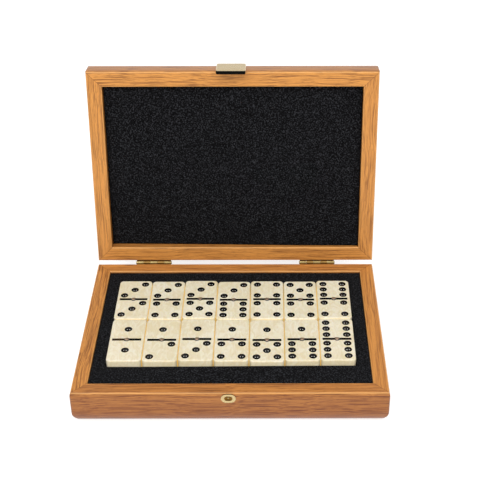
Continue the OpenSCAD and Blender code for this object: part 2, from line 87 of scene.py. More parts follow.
class WoodSettings(bpy.types.PropertyGroup):
    """Colours and grain of the wood"""
    light: FloatVectorProperty(name="Light wood", description="Colour of the early wood",
                               subtype="COLOR", size=3, default=srgb(209, 143, 70))
    middle: FloatVectorProperty(name="Middle wood", description="Main colour of the wood",
                                subtype="COLOR", size=3, default=srgb(168, 106, 54))
    dark: FloatVectorProperty(name="Dark wood", description="Colour of the late wood and the pores",
                              subtype="COLOR", size=3, default=srgb(88, 44, 22))
    # painted highlight and wear: the lighter colour along the rims' rounded edges
    wear_and_painted_light: FloatVectorProperty(name="Edge wear and highlight", description="Colour of the rims' rubbed edges and their painted highlight",
                              subtype="COLOR", size=3, default=srgb(228, 172, 104))
    # painted shade: the colour that the outside is darkened towards
    outside_shade: FloatVectorProperty(name="Painted outside shade",
                                 description="Colour that the outside darkens to",
                                 subtype="COLOR", size=3, default=srgb(121, 58, 19))
    streak: FloatProperty(name="Streak width", description="Width of a grain streak",
                          subtype="DISTANCE", unit="LENGTH", default=0.85 * MM)
    roughness: FloatProperty(name="Roughness", description="Gloss of the oiled surface",
                             subtype="FACTOR", default=0.38, min=0, max=1)


class FoamSettings(bpy.types.PropertyGroup):
    """Colour and unevenness of the foam"""
    colour: FloatVectorProperty(name="Foam", description="Colour of the cut foam",
                                subtype="COLOR", size=3, default=srgb(3, 3, 4))
    fleck: FloatVectorProperty(name="Fleck", description="Colour of the open cells' walls",
                               subtype="COLOR", size=3, default=srgb(55, 56, 60))
    cell: FloatProperty(name="Cell", description="Size of a cell of the foam",
                        subtype="DISTANCE", unit="LENGTH", default=1.0 * MM)
    wave: FloatProperty(name="Wave", description="How uneven the foam's face is",
                        subtype="DISTANCE", unit="LENGTH", default=0.25 * MM)
    edge: FloatProperty(name="Edge", description="Radius of the foam's cut edges",
                        subtype="DISTANCE", unit="LENGTH", default=0.9 * MM)


class DominoSettings(bpy.types.PropertyGroup):
    """Sizes and colours of the dominoes' marks"""
    ivory: FloatVectorProperty(name="Ivory", description="Colour of the resin",
                               subtype="COLOR", size=3, default=srgb(225, 218, 197))
    cream: FloatVectorProperty(name="Cream", description="Colour of the swirls in the resin",
                               subtype="COLOR", size=3, default=srgb(211, 196, 158))
    # painted light: the amber tint and glow of the joints between the dominoes
    amber: FloatVectorProperty(name="Amber", description="Colour that glows in the joints",
                               subtype="COLOR", size=3, default=srgb(216, 184, 98))
    paint: FloatVectorProperty(name="Paint", description="Colour of the painted pips",
                               subtype="COLOR", size=3, default=srgb(9, 9, 10))
    # painted highlight: the grey of the two glints painted into each pip
    glint: FloatVectorProperty(name="Glint", description="Colour of the worn spots in the pips",
                               subtype="COLOR", size=3, default=srgb(225, 225, 218))
    glint_apart: FloatProperty(name="Glint offset",
                               description="How far the worn spots lie from the middle",
                               subtype="DISTANCE", unit="LENGTH", default=0.95 * MM)
    glint_radius: FloatProperty(name="Glint radius", description="Radius of a painted glint",
                                subtype="DISTANCE", unit="LENGTH", default=0.42 * MM)
    pin: FloatVectorProperty(name="Pin", description="Colour of the pin heads",
                             subtype="COLOR", size=3, default=srgb(176, 150, 126))
    pip_radius: FloatProperty(name="Pip radius", description="Radius of a pip",
                              subtype="DISTANCE", unit="LENGTH", default=3.12 * MM)
    pip_depth: FloatProperty(name="Pip depth", description="Depth of a pip's paint",
                             subtype="DISTANCE", unit="LENGTH", default=0.6 * MM)
    pitch_x: FloatProperty(name="Pip pitch across", description="Pip spacing across a domino",
                           subtype="DISTANCE", unit="LENGTH", default=8.1 * MM)
    pitch_y: FloatProperty(name="Pip pitch along", description="Pip spacing along a domino",
                           subtype="DISTANCE", unit="LENGTH", default=7.7 * MM)
    groove_length: FloatProperty(name="Groove length", description="Length of the divider",
                                 subtype="DISTANCE", unit="LENGTH", default=23 * MM)
    groove_width: FloatProperty(name="Groove width", description="Width of the divider",
                                subtype="DISTANCE", unit="LENGTH", default=2.7 * MM)
    pin_radius: FloatProperty(name="Pin radius", description="Radius of a pin head",
                              subtype="DISTANCE", unit="LENGTH", default=2.3 * MM)


class MetalSettings(bpy.types.PropertyGroup):
    """Colours of the fittings"""
    brass: FloatVectorProperty(name="Brass", description="Colour of the plated brass",
                               subtype="COLOR", size=3, default=srgb(164, 146, 98))
    aged: FloatVectorProperty(name="Aged brass", description="Colour of the dulled brass",
                              subtype="COLOR", size=3, default=srgb(128, 104, 62))
    # painted reflection: the clasp's brass is lighter than the other brass and partly diffuse,
    # standing in for the bright surroundings it reflects
    clasp: FloatVectorProperty(name="Clasp", description="Colour of the clasp's plating, lit by a painted reflection",
                               subtype="COLOR", size=3, default=srgb(237, 215, 171))
    strike: FloatVectorProperty(name="Strike", description="Colour of the strike's plating",
                                subtype="COLOR", size=3, default=srgb(200, 178, 128))
    # painted shade: the lid's hinge leaves are a darker copy of the brass, for their shaded,
    # differently lit knuckles
    amber: FloatVectorProperty(name="Amber brass", description="Colour of the lid's hinge leaves",
                               subtype="COLOR", size=3, default=srgb(138, 108, 58))
    # painted shade: the darker amber of the strike's dish
    recess: FloatVectorProperty(name="Recess", description="Colour in the strike's dish",
                                subtype="COLOR", size=3, default=srgb(120, 84, 34))
    # painted reflection: the near black of the clasp's closed end, standing in for the dark
    # surroundings it mirrors
    shade: FloatVectorProperty(name="Shade", description="Colour of the clasp's end, painted dark as a reflection",
                               subtype="COLOR", size=3, default=srgb(16, 18, 18))
    steel: FloatVectorProperty(name="Steel", description="Colour of the spring steel",
                               subtype="COLOR", size=3, default=srgb(186, 186, 182))


class StudioSettings(bpy.types.PropertyGroup):
    """Camera and lights"""
    camera_at: FloatVectorProperty(name="Camera", description="Place of the camera",
                                   subtype="TRANSLATION", unit="LENGTH", size=3,
                                   default=(0.0294, -0.7087, 0.5805))
    pitch: FloatProperty(name="Pitch", description="How far the camera looks down",
                         subtype="ANGLE", default=0.5849)
    yaw: FloatProperty(name="Yaw", description="How far the camera turns to the right",
                       subtype="ANGLE", default=0.0026)
    lens: FloatProperty(name="Lens", description="Focal length on a 36 mm sensor, in millimetres",
                        default=82.53, min=10)
    shift: FloatProperty(name="Shift", description="Sideways shift of the picture", default=-0.065)
    floor: FloatVectorProperty(name="Floor", description="Colour of the floor",
                               subtype="COLOR", size=3, default=(0.6, 0.6, 0.6))
    floor_glow: FloatProperty(name="Floor glow", description="Light that comes through the floor",
                              default=0.6, min=0)
    sky: FloatProperty(name="Sky", description="Strength of the even light", default=0.54, min=0)


class DominoBoxSettings(bpy.types.PropertyGroup):
    """Everything that can be changed on the domino box"""
    wood: PointerProperty(type=WoodSettings)
    foam: PointerProperty(type=FoamSettings)
    domino: PointerProperty(type=DominoSettings)
    metal: PointerProperty(type=MetalSettings)
    studio: PointerProperty(type=StudioSettings)


# ---- node trees as sums ----

class Wire:
    """An output socket that joins in Python sums: each sum adds its Math node."""

    def __init__(self, tree, made, out=0):
        self.tree = tree
        self.made = made
        self.socket = made.outputs[out] if len(made.outputs) else None

    def out(self, name):
        """Another output of the same node."""
        return Wire(self.tree, self.made, name)

    def math(self, operation, *terms):
        """A Math node on these terms."""
        return self.tree.node("ShaderNodeMath", {"operation": operation}, terms)

    def __add__(self, other):
        return self.math("ADD", self, other)

    def __radd__(self, other):
        return self.math("ADD", other, self)

    def __sub__(self, other):
        return self.math("SUBTRACT", self, other)

    def __rsub__(self, other):
        return self.math("SUBTRACT", other, self)

    def __mul__(self, other):
        return self.math("MULTIPLY", self, other)

    def __rmul__(self, other):
        return self.math("MULTIPLY", other, self)

    def __truediv__(self, other):
        return self.math("DIVIDE", self, other)

    def __mod__(self, other):
        return self.math("MODULO", self, other)

    def __abs__(self):
        return self.math("ABSOLUTE", self)

    def larger(self, other):
        """The larger of this and the other."""
        return self.math("MAXIMUM", self, other)

    def over(self, other):
        """1 where this is greater than the other, else 0."""
        return self.math("GREATER_THAN", self, other)

    def under(self, other):
        """1 where this is less than the other, else 0."""
        return self.math("LESS_THAN", self, other)


class Tree:
    """A node tree that is filled by one method."""

    def __init__(self, tree):
        self.tree = tree

    def node(self, kind, settings=None, inputs=(), out=0):
        """Adds a node: its settings first, then the values or links of its sockets."""
        made = self.tree.nodes.new(kind)
        for name, value in (settings or {}).items():
            if name == "stops":
                set_stops(made.color_ramp, value)
            else:
                setattr(made, name, value)
        for key, value in inputs.items() if isinstance(inputs, dict) else enumerate(inputs):
            if isinstance(value, Wire):
                self.tree.links.new(value.socket, made.inputs[key])
            elif isinstance(value, list):
                for wire in value:
                    self.tree.links.new(wire.socket, made.inputs[key])
            else:
                made.inputs[key].default_value = value
        return Wire(self, made, out)


def set_stops(ramp, stops):
    """Gives a colour ramp its stops, each a place and a grey value."""
    while len(ramp.elements) < len(stops):
        ramp.elements.new(1)
    for element, (place, grey) in zip(ramp.elements, stops):
        element.position = place
        element.color = (grey, grey, grey, 1)


def opaque(colour):
    """A colour with the full alpha that a socket or a stop wants."""
    return (*colour, 1)


def mix(tree, factor, low, high):
    """A colour between low and high."""
    low, high = (c if isinstance(c, Wire) else opaque(c) for c in (low, high))
    return tree.node("ShaderNodeMix", {"data_type": "RGBA"}, {0: factor, 6: low, 7: high}, out=2)


def ramp(tree, value, *stops):
    """A value passed through stops, each a place and a grey value."""
    return tree.node("ShaderNodeValToRGB", {"stops": stops}, {"Fac": value})


def stretch(tree, place, x, y, z):
    """Coordinates scaled along each axis; a pattern is longer where the scale is small."""
    return tree.node("ShaderNodeVectorMath", {"operation": "MULTIPLY"}, (place, (x, y, z)))


def xyz(tree, vector):
    """The three parts of a vector."""
    parts = tree.node("ShaderNodeSeparateXYZ", {}, (vector,))
    return parts, parts.out("Y"), parts.out("Z")


def grain(tree, place, size, detail=2.0, rough=0.5, warp=0.0):
    """Noise from 0 to 1 with features of a size in metres."""
    return tree.node("ShaderNodeTexNoise", {}, {
        "Vector": place, "Scale": 1 / size, "Detail": detail, "Roughness": rough,
        "Distortion": warp})


def start_material(name):
    """A new material, its tree and its shader."""
    made = bpy.data.materials.new(name)
    made.use_nodes = True
    made.node_tree.nodes.clear()
    tree = Tree(made.node_tree)
    shader = tree.node("ShaderNodeBsdfPrincipled")
    tree.node("ShaderNodeOutputMaterial", {}, {"Surface": shader})
    return made, tree, shader.made


def join(tree, shader, **links):
    """Links or sets the shader's sockets; a socket's name is written with underscores."""
    for name, value in links.items():
        socket = shader.inputs[name.replace("_", " ")]
        if isinstance(value, Wire):
            tree.tree.links.new(value.socket, socket)
        else:
            socket.default_value = value


def bump(tree, height, depth):
    """A normal that a height from 0 to 1 bends, as deep as depth."""
    return tree.node("ShaderNodeBump", {}, {"Height": height, "Distance": depth}, out="Normal")


def shut_place(tree, body):
    """Object coordinates, turned back to the shut box where the piece is on the lid."""
    place = tree.node("ShaderNodeTexCoord", out="Object")
    if body != "lid":
        return place
    return tree.node("ShaderNodeMapping", {"vector_type": "POINT"}, {
        "Vector": place, "Location": SHUT.to_translation(), "Rotation": (OPEN_ANGLE, 0, 0)})


def slant(tree, body):
    """How far a face is from square to the shut box: 0 where it is square, 1 on a rounded edge."""
    facing = tree.node("ShaderNodeTexCoord", out="Normal")
    if body == "lid":
        facing = tree.node("ShaderNodeMapping", {"vector_type": "POINT"}, {
            "Vector": facing, "Rotation": (OPEN_ANGLE, 0, 0)})
    x, y, z = (abs(part) for part in xyz(tree, facing))
    return ramp(tree, x.larger(y).larger(z), (0.85, 1.0), (0.97, 0.0))


def paint_node(node, material):
    """Gives a CAD node's slots one material."""
    slots = frame["nodes"][node].data.materials
    slots.clear()
    slots.append(material)


# ---- wood ----

SEAM = 0.9 * MM      # width over which a mitre's joint is dark
VENEER = (0.0, 0.7)  # tone and contrast of the panels


def wood(name, body, across_box, shift, rim, outside, mitred=True):
    """Oiled hardwood whose grain runs along the box, or across it on the side rails.

    rim and outside are each a tone and a contrast.
    """
    look = bpy.context.scene.domino_box.wood
    made, tree, shader = start_material(name)
    place = shut_place(tree, body)
    x, y, z = xyz(tree, place)
    length, width = (y, x) if across_box else (x, y)
    run = tree.node("ShaderNodeCombineXYZ", {}, (length + shift, width + shift, z - shift))
    down = abs(z - RIM_Z) / RIM_Z
    past_rim = ramp(tree, down, (0.03, 0.0), (0.06, 1.0))
    tone, contrast = (past_rim * (low - high) + high for high, low in zip(rim, outside))
    # the streaks wander a little along their length
    drift = grain(tree, stretch(tree, run, 1, 0.4, 0.4), 50 * MM, detail=1.0) - 0.5
    wander = tree.node("ShaderNodeCombineXYZ", {}, (0.0, drift * (7 * MM), drift * (5 * MM)))
    run = tree.node("ShaderNodeVectorMath", {"operation": "ADD"}, (run, wander))
    broad = grain(tree, stretch(tree, run, 0.035, 1, 1), 9 * look.streak)
    streaks = grain(tree, stretch(tree, run, 0.014, 1, 1), look.streak, detail=3.0, rough=0.65)
    lines = grain(tree, stretch(tree, run, 0.025, 1, 1), 1.1 * look.streak, detail=1.0)
    pores = ramp(tree, grain(tree, stretch(tree, run, 0.12, 1, 1), 0.7 * look.streak, detail=1.0),
                 (0.56, 0.0), (0.7, 1.0))
    level = broad * 0.25 + streaks * 1.1 - 0.17 + tone
    lit = mix(tree, ramp(tree, level, (0.1, 0.0), (0.9, 1.0)), look.middle, look.light)
    veins = ramp(tree, streaks * 0.95 + broad * 0.1, (0.42, 1.0), (0.56, 0.0))
    dark_lines = ramp(tree, lines, (0.52, 0.0), (0.66, 1.0))
    body_colour = mix(tree, veins * 0.4 * contrast + dark_lines * 0.5 * contrast, lit, look.dark)
    colour = mix(tree, pores * 0.35 * contrast, body_colour, look.dark)
    # painted shade: the outside is darkened, the more so the further from the rim; on the lid this
    # also dulls the outer face
    outside_shade = ramp(tree, down, (0.03, 0.0), (0.08, 0.5), (0.5, 0.65), (1.0, 1.0))
    colour = mix(tree, outside_shade * (0.8 if body == "base" else 0.5), colour, look.outside_shade)
    # painted highlight and rubbed wear: the rounded edges by the rim are lightened
    wear_and_painted_light = slant(tree, body) * ramp(tree, down, (0.045, 1.0), (0.06, 0.0))
    colour = mix(tree, wear_and_painted_light * 0.5, colour, look.wear_and_painted_light)
    if mitred:
        off_mitre = abs(abs(x) - abs(y) + (HALF_D - HALF_W))
        seam = 1 - ramp(tree, off_mitre / SEAM, (0.0, 0.0), (0.5, 1.0))
        colour = mix(tree, seam * 0.6, colour, look.dark)
    join(tree, shader, Base_Color=colour, Roughness=look.roughness + streaks * 0.16 - 0.08,
         Normal=bump(tree, 1 - pores * 0.6 - streaks * 0.4, 0.05 * MM))
    join(tree, shader, Specular_IOR_Level=0.25, Coat_Roughness=0.22,
         Coat_Weight=outside_shade * (0.1 if body == "base" else 0.9) + 0.1)
    return made


def finish_wood():
    """Gives each rail and panel wood of its own cut."""
    # across the box, the place of the cut, then tone and contrast of the rim and of the outside
    rails = {
        "base_rail_front": (False, 0.11, (-0.14, 0.9), (0.08, 1.3)),
        "base_rail_back": (False, 0.43, (0.0, 0.9), (0.0, 0.9)),
        "base_rail_left": (True, 0.72, (0.1, 1.1), (0.1, 1.1)),
        "base_rail_right": (True, 1.31, (0.08, 0.6), (0.15, 1.1)),
        "lid_rail_front": (False, 1.63, (0.42, 0.9), (0.42, 0.9)),
        "lid_rail_back": (False, 2.07, (0.55, 0.8), (0.55, 0.8)),
        "lid_rail_left": (True, 2.51, (0.38, 0.85), (0.38, 0.85)),
        "lid_rail_right": (True, 2.93, (0.24, 0.7), (0.33, 0.8)),
    }
    for node, cut in rails.items():
        paint_node(node, wood(node + "_wood", node.split("_")[0], *cut))
    for node, shift in (("base_panel", 3.4), ("lid_panel", 3.9)):
        paint_node(node, wood(node + "_veneer", node.split("_")[0], False, shift,
                              VENEER, VENEER, mitred=False))


# ---- foam ----

SHEET_STEP = 4 * MM      # spacing of the mesh over a sheet's face
WELD = 0.01 * MM         # points nearer than this become one
SHARP = 1.0              # faces that meet at more than this angle make a cut edge
POCKET_SLACK = 0.5 * MM  # gap between the dominoes and the pocket's wall
TRAY_SWELL = 0.8 * MM    # how much the front strip swells at its right end
PAD_RISE = 2.6 * MM      # how much the lid's pad swells by the right hinge
PAD_SAG = 1.8 * MM       # how much it sags by the left hinge


def foam_material():
    """Matt black cut foam, with the walls of its open cells showing as flecks."""
    look = bpy.context.scene.domino_box.foam
    made, tree, shader = start_material("black_foam")
    place = tree.node("ShaderNodeTexCoord", out="Object")
    cells = tree.node("ShaderNodeTexVoronoi", {"feature": "F1"}, {
        "Vector": place, "Scale": 1 / look.cell, "Randomness": 1.0})
    clumps = grain(tree, place, 3.2 * look.cell, detail=3.0, rough=0.7)
    flecks = ramp(tree, grain(tree, place, 1.1 * look.cell, detail=1.0), (0.48, 0.0), (0.76, 1.0))
    level = flecks * 0.8 + ramp(tree, clumps, (0.4, 0.0), (0.8, 1.0)) * 0.1
    join(tree, shader, Base_Color=mix(tree, level, look.colour, look.fleck), Roughness=0.95,
         Normal=bump(tree, cells * 0.7 + clumps * 0.5, 0.35 * MM))
    join(tree, shader, Specular_IOR_Level=0.1)
    return made


def steps(low, high, step, *through):
    """Even places from low to high that also pass through some given ones."""
    marks = sorted({low, high, *(t for t in through if low < t < high)})
    places = [low]
    for start, end in zip(marks, marks[1:]):
        count = max(1, round((end - start) / step))
        places += [start + (end - start) * i / count for i in range(1, count + 1)]
    return places


def foam_sheet(name, outer, pocket, bottom, height_at, edge):
    """A cut sheet of foam, with an optional pocket; height_at gives its uneven face."""
    (x0, y0), (x1, y1) = outer
    hole_x, hole_y = zip(*pocket) if pocket else ((), ())
    xs, ys = steps(x0, x1, SHEET_STEP, *hole_x), steps(y0, y1, SHEET_STEP, *hole_y)
    made = bmesh.new()
    grid = {(i, j): made.verts.new((x, y, height_at(x, y)))
            for i, x in enumerate(xs) for j, y in enumerate(ys)}
    for i in range(len(xs) - 1):
        for j in range(len(ys) - 1):
            mid_x, mid_y = (xs[i] + xs[i + 1]) / 2, (ys[j] + ys[j + 1]) / 2
            if pocket and hole_x[0] < mid_x < hole_x[1] and hole_y[0] < mid_y < hole_y[1]:
                continue
            made.faces.new([grid[i, j], grid[i + 1, j], grid[i + 1, j + 1], grid[i, j + 1]])
    bmesh.ops.delete(made, geom=[v for v in made.verts if not v.link_faces], context="VERTS")
    rim = [e for e in made.edges if e.is_boundary]
    walls = bmesh.ops.extrude_edge_only(made, edges=rim)["geom"]
    feet = [g for g in walls if isinstance(g, bmesh.types.BMVert)]
    for v in feet:
        v.co.z = bottom
    # a copy of the face, laid flat at the bottom, closes the sheet
    under = bmesh.ops.duplicate(
        made, geom=[f for f in made.faces if all(v not in feet for v in f.verts)])
    for g in under["geom"]:
        if isinstance(g, bmesh.types.BMVert):
            g.co.z = bottom
    bmesh.ops.remove_doubles(made, verts=made.verts, dist=WELD)
    bmesh.ops.recalc_face_normals(made, faces=made.faces)
    top = [e for e in made.edges
           if e.calc_face_angle(0) > SHARP and min(v.co.z for v in e.verts) > bottom + MM]
    bmesh.ops.bevel(made, geom=top, offset=edge, offset_type="OFFSET", segments=3, profile=0.5,
                    affect="EDGES", clamp_overlap=True)
    mesh = bpy.data.meshes.new(name)
    made.to_mesh(mesh)
    made.free()
    for face in mesh.polygons:
        face.use_smooth = True
    piece = bpy.data.objects.new(name, mesh)
    bpy.context.scene.collection.objects.link(piece)
    return piece


def uneven(x, y, seed):
    """Soft unevenness from -1 to 1 over the face of a sheet."""
    spot = Vector((x, y, seed))
    return 0.65 * noise.noise(spot * 22) + 0.35 * noise.noise(spot * 70)


def smooth_step(value, low, high):
    """0 below low and 1 above high, with a smooth rise between them."""
    part = min(1, max(0, (value - low) / (high - low)))
    return part * part * (3 - 2 * part)


def dress_foam(piece, node, body, material):
    """Lets a foam piece stand for its solid and ride on its body."""
    piece.data.materials.append(material)
    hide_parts(node)
    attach(piece, body)


def make_foam():
    """Makes the floor, the tray with its pocket and the lid's pad."""
    look = bpy.context.scene.domino_box.foam
    material = foam_material()
    low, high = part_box("foam_floor")
    floor = foam_sheet("foam_floor_sheet", (low.xy, high.xy), None, low.z,
                       lambda x, y: high.z, look.edge)
    dress_foam(floor, "foam_floor", "base", material)

    lows, highs = zip(*(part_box(n) for n in DOMINOES))
    pocket = (tuple(min(corner[i] for corner in lows) - POCKET_SLACK for i in (0, 1)),
              tuple(max(corner[i] for corner in highs) + POCKET_SLACK for i in (0, 1)))
    low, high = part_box("foam_tray")

    def tray_height(x, y):
        # the front strip swells towards the right
        swell = smooth_step(x, -0.08, 0.1) * smooth_step(-y, 0.02, 0.05)
        return high.z + look.wave * uneven(x, y, 1) + TRAY_SWELL * swell

    tray = foam_sheet("foam_tray_sheet", (low.xy, high.xy), pocket, low.z, tray_height, look.edge)
    dress_foam(tray, "foam_tray", "base", material)

    # the pad is made lying face up and is then turned into the open lid
    corners = [SHUT @ v.co for v in frame["nodes"]["lid_foam"].data.vertices]
    low = Vector(min(c[i] for c in corners) for i in range(3))
    high = Vector(max(c[i] for c in corners) for i in range(3))
    face_down = Matrix.Rotation(math.pi, 4, "X")

    def pad_height(x, y):
        # by the hinges the pad stands low on the left and high on the right
        near_hinge = smooth_step(-y, 0.03, 0.07)
        lean = near_hinge * (PAD_RISE * smooth_step(x, -0.02, 0.1)
                             - PAD_SAG * smooth_step(-x, -0.01, 0.1))
        return -low.z + look.wave * 1.4 * uneven(x, y, 5) + lean

    pad = foam_sheet("lid_foam_pad", ((low.x, -high.y), (high.x, -low.y)), None, -high.z,
                     pad_height, look.edge)
    pad.data.transform(OPEN @ face_down)
    dress_foam(pad, "lid_foam", "lid", material)


# ---- dominoes ----

PIP_PLACE = "pip_place"    # where a point lies on its pip or pin head, as an attribute
TURNED = {"domino_4_5", "domino_4_6"}  # these lie with their higher number at the back
PIN_RISE = 0.7 * MM        # how far the pin head stands above a domino's face
HEAD_RISE = 0.72 * MM      # the same for its metal, which covers it
HEAD_DEPTH = 0.6 * MM      # thickness of that metal
PAINT_LIFT = 0.01 * MM     # how far the paint stands above the face
PIP_PAINT = 0.25 * MM      # thickness of the paint in a pip
GROOVE_PAINT = 0.5 * MM    # thickness of the paint in the divider


def resin_material():
    """Polished ivory resin with faint swirls, with painted light: the long sides are tinted amber
    and the sides and ends glow, most of all in the joints.
    """
    look = bpy.context.scene.domino_box.domino
    made, tree, shader = start_material("ivory_resin")
    place = tree.node("ShaderNodeTexCoord", out="Object")
    swirl = grain(tree, stretch(tree, place, 1.0, 0.45, 0.6), 5 * MM,
                  detail=4.0, rough=0.6, warp=2.2)
    cloud = grain(tree, place, 30 * MM, detail=1.0)
    level = ramp(tree, swirl * 0.8 + cloud * 0.3, (0.42, 0.0), (0.66, 1.0))
    facing_x, facing_y, _ = xyz(tree, tree.node("ShaderNodeTexCoord", out="Normal"))
    x, _, _ = xyz(tree, place)
    outermost = max(abs(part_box(n)[1].x) for n in DOMINOES)
    inner = abs(x).under(outermost - MM)
    side = ramp(tree, abs(facing_x), (0.9, 0.0), (0.99, 1.0)) * inner
    ends = ramp(tree, abs(facing_y), (0.6, 0.0), (0.95, 1.0))
    face = mix(tree, level * 0.8, look.ivory, look.cream)
    # painted light: the long sides in the joints are tinted amber, the ends a little
    colour = mix(tree, side * 0.6 + ends * 0.1, face, look.amber)
    # painted glow: the sides and ends are made to give off light, most of all in the joints, in
    # place of light passing through the resin
    glow = mix(tree, side * 0.35, (0, 0, 0), look.amber)
    glow = mix(tree, ends * 0.34, glow, look.cream)
    join(tree, shader, Base_Color=colour, Roughness=0.2 + swirl * 0.08,
         Emission_Color=glow, Normal=bump(tree, swirl, 0.02 * MM))
    join(tree, shader, Emission_Strength=1.0, Subsurface_Weight=0.15,
         Subsurface_Radius=(3 * MM, 2 * MM, 0.8 * MM))
    return made


def pip_place(tree):
    """Where a point lies on its pip or pin head, across and along the domino."""
    place = tree.node("ShaderNodeAttribute", {"attribute_name": PIP_PLACE}, out="Vector")
    return xyz(tree, place)[:2]


def gloss_paint():
    """Glossy black paint, with a painted highlight of two grey glints beside the middle of each
    pip.
    """
    look = bpy.context.scene.domino_box.domino
    made, tree, shader = start_material("pip_paint")
    x, y = pip_place(tree)
    # as shares of a spot's radius, from the middle of the nearer spot
    x, y = (abs(x) - look.glint_apart) / look.glint_radius, y / look.glint_radius - 0.3
    # painted highlight: two round glints, one each side of the pip's middle
    glint = ramp(tree, 1 - (x * x + y * y), (0.0, 0.0), (0.8, 1.0))
    join(tree, shader, Base_Color=mix(tree, glint, look.paint, look.glint),
         Roughness=0.14 + glint * 0.2)
    return made


def pin_metal():
    """The rounded end of a brass pin, with paint run in round its foot."""
    look = bpy.context.scene.domino_box.domino
    made, tree, shader = start_material("pin_brass")
    x, y = (part / look.pin_radius for part in pip_place(tree))
    foot = ramp(tree, x * x + y * y, (0.38, 0.0), (0.5, 1.0))
    join(tree, shader, Base_Color=mix(tree, foot, look.pin, look.paint), Metallic=0.7 - foot * 0.7,
         Roughness=0.3)
    return made


def moved(tree, geometry, by):
    """Geometry shifted by a vector."""
    return tree.node("GeometryNodeTransform", {}, {"Geometry": geometry, "Translation": by})


def with_place(tree, geometry, place):
    """Geometry that keeps a place at each point, for the paint and the pin's metal."""
    return tree.node("GeometryNodeStoreNamedAttribute", {
        "data_type": "FLOAT_VECTOR", "domain": "POINT"}, {
        "Geometry": geometry, "Name": PIP_PLACE, "Value": place})


def curved_disc(tree, radius, thickness, rise, material):
    """A thin round plate that bulges up by rise, or down where rise is negative."""
    disc = tree.node("GeometryNodeMeshCylinder", {"fill_type": "TRIANGLE_FAN"}, {
        "Vertices": 20, "Side Segments": 1, "Fill Segments": 4,
        "Radius": radius, "Depth": thickness})
    x, y, _ = xyz(tree, tree.node("GeometryNodeInputPosition"))
    lift = (1 - (x * x + y * y) / (radius * radius)) * rise
    flat = with_place(tree, disc, tree.node("GeometryNodeInputPosition"))
    bent = tree.node("GeometryNodeSetPosition", {}, {
        "Geometry": flat, "Offset": tree.node("ShaderNodeCombineXYZ", {}, {"Z": lift})})
    smooth = tree.node("GeometryNodeSetShadeSmooth", {}, {"Geometry": bent})
    return tree.node("GeometryNodeSetMaterial", {}, {"Geometry": smooth, "Material": material})


def half_pips(tree, number, pitch_x, pitch_y, disc, shift):
    """The pips of one number on a three by three grid, moved to their half of the face."""
    grid = tree.node("GeometryNodeMeshGrid", {}, {
        "Size X": pitch_x * 2, "Size Y": pitch_y * 2, "Vertices X": 3, "Vertices Y": 3})
    x, y, _ = xyz(tree, tree.node("GeometryNodeInputPosition"))
    # column and row of a grid point, each -1, 0 or 1
    column, row = x / pitch_x, y / pitch_y
    diagonal = column * row
    middle = (abs(column) + abs(row)).under(0.5) * (number % 2.0)
    rising = diagonal.over(0.5) * number.over(1.5)
    falling = diagonal.under(-0.5) * number.over(3.5)
    waist = abs(column).over(0.5) * abs(row).under(0.5) * number.over(5.5)
    pips = tree.node("GeometryNodeInstanceOnPoints", {}, {
        "Points": grid, "Selection": middle + rising + falling + waist, "Instance": disc})
    return moved(tree, pips, tree.node("ShaderNodeCombineXYZ", {}, {"Y": shift}))


def marks_tree(paint, pin):
    """Geometry nodes that lay the paint of both numbers and the divider, and the pin's head."""
    group = bpy.data.node_groups.new("Domino Marks", "GeometryNodeTree")
    kinds = {"Rear Number": "Int", "Front Number": "Int", "Place": "Vector", "Pitch X": "Float",
             "Pitch Y": "Float", "Half Centre": "Float", "Pip Radius": "Float",
             "Pip Depth": "Float", "Groove Length": "Float", "Groove Width": "Float",
             "Pin Radius": "Float"}
    sockets = {name: group.interface.new_socket(name, in_out="INPUT",
                                                socket_type="NodeSocket" + kind)
               for name, kind in kinds.items()}
    group.interface.new_socket("Geometry", in_out="OUTPUT", socket_type="NodeSocketGeometry")
    tree = Tree(group)
    asked = tree.node("NodeGroupInput")
    half = asked.out("Half Centre")
    disc = curved_disc(tree, asked.out("Pip Radius"), PIP_PAINT,
                       asked.out("Pip Depth") * -1.0, paint)
    disc = moved(tree, disc, (0, 0, PAINT_LIFT - PIP_PAINT / 2))
    halves = [half_pips(tree, asked.out(name), asked.out("Pitch X"), asked.out("Pitch Y"),
                        disc, shift)
              for name, shift in (("Rear Number", half), ("Front Number", half * -1.0))]
    bar_size = tree.node("ShaderNodeCombineXYZ", {}, (
        asked.out("Groove Length"), asked.out("Groove Width"), GROOVE_PAINT))
    bar = tree.node("GeometryNodeMeshCube", {}, {"Size": bar_size})
    # a place far from any glint, in metres
    bar = with_place(tree, bar, (1, 1, 1))
    bar = moved(tree, bar, (0, 0, PAINT_LIFT - GROOVE_PAINT / 2))
    bar = tree.node("GeometryNodeSetMaterial", {}, {"Geometry": bar, "Material": paint})
    head = curved_disc(tree, asked.out("Pin Radius"), HEAD_DEPTH, HEAD_RISE, pin)
    head = moved(tree, head, (0, 0, -HEAD_DEPTH / 2))
    joined = tree.node("GeometryNodeJoinGeometry", {}, {"Geometry": [*halves, bar, head]})
    placed = moved(tree, joined, asked.out("Place"))
    real = tree.node("GeometryNodeRealizeInstances", {}, {"Geometry": placed})
    tree.node("NodeGroupOutput", {}, {"Geometry": real})
    return group, {name: socket.identifier for name, socket in sockets.items()}


def grown_mesh(name, group, values):
    """The mesh that a geometry tree makes from these inputs, as a plain object."""
    piece = bpy.data.objects.new(name, bpy.data.meshes.new(name))
    bpy.context.scene.collection.objects.link(piece)
    modifier = piece.modifiers.new("Grow", "NODES")
    modifier.node_group = group
    for identifier, value in values.items():
        modifier[identifier] = value
    grown = piece.evaluated_get(bpy.context.evaluated_depsgraph_get())
    mesh = bpy.data.meshes.new_from_object(grown)
    piece.modifiers.clear()
    piece.data = mesh
    return piece


